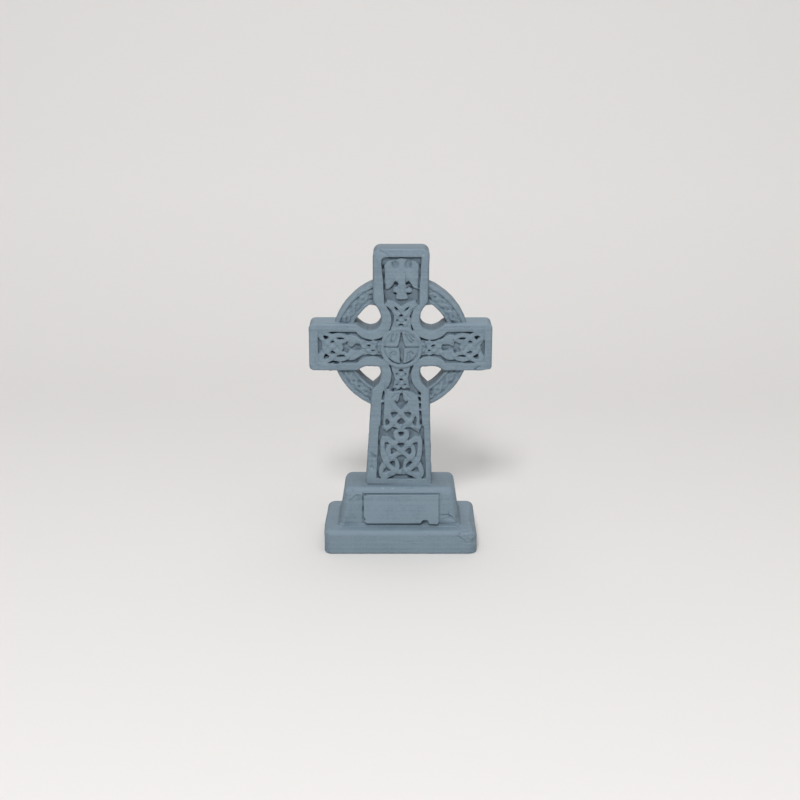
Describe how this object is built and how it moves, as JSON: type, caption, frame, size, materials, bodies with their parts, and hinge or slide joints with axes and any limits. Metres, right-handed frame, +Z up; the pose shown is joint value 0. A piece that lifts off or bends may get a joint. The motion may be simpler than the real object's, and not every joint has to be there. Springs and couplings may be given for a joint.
{
  "type": "ringed cross memorial miniature",
  "caption": "Small one-piece printed plastic miniature of a carved ringed cross memorial on a stepped plinth with a blank plaque.",
  "frame": {"origin": "centre of the slab's underside, on the surface that the memorial stands on", "axes": "+Z up along the shaft, the carved front faces -Y, the arms run along X"},
  "size_m": [0.0358, 0.0192, 0.06],
  "materials": {
    "print_plastic": "matte blue-grey printed plastic with fine level layer lines"
  },
  "bodies": {
    "root": {"ringed_cross_memorial": "print_plastic"}
  },
  "joints": []
}
